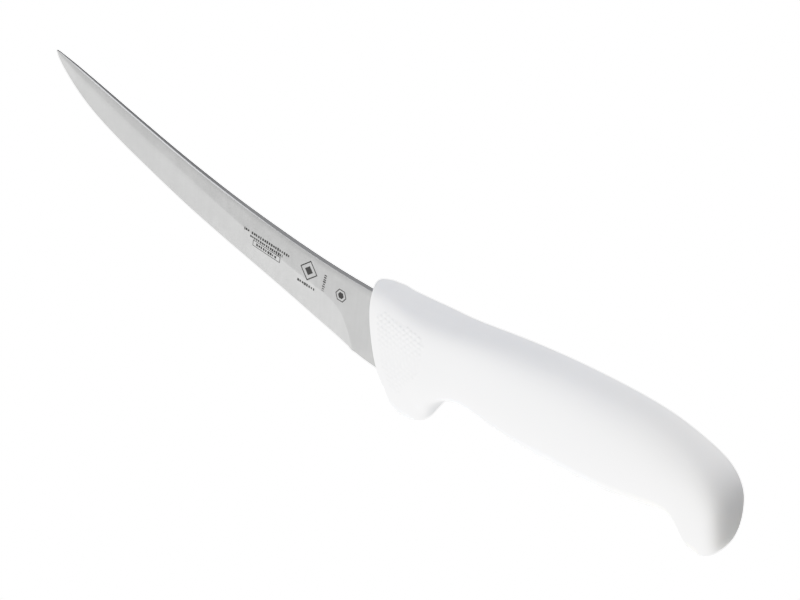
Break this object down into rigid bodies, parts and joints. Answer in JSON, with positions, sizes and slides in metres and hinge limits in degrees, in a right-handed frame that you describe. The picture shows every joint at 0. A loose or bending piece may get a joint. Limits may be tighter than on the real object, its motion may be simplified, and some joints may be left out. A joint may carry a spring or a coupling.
{
  "type": "boning knife",
  "caption": "Curved boning knife: a narrow ground steel blade in a white moulded handle with a finger guard and a hooked butt, for cutting meat from bone.",
  "frame": {"origin": "mid length of the whole knife, on its mid plane, level with the lowest point of the finger guard", "axes": "+Z towards the spine side, +X along the handle from the blade towards the butt, so the tip points to -X, and the blade's two flats face -Y and +Y"},
  "size_m": [0.2788, 0.0222, 0.0657],
  "materials": {
    "blade_steel": "satin ground stainless steel, finely brushed across the blade",
    "handle_plastic": "satin white polypropylene, finely grained, with a pebbled finger panel behind the front rim on each side"
  },
  "bodies": {
    "root": {"blade": "blade_steel", "handle": "handle_plastic"}
  },
  "joints": []
}
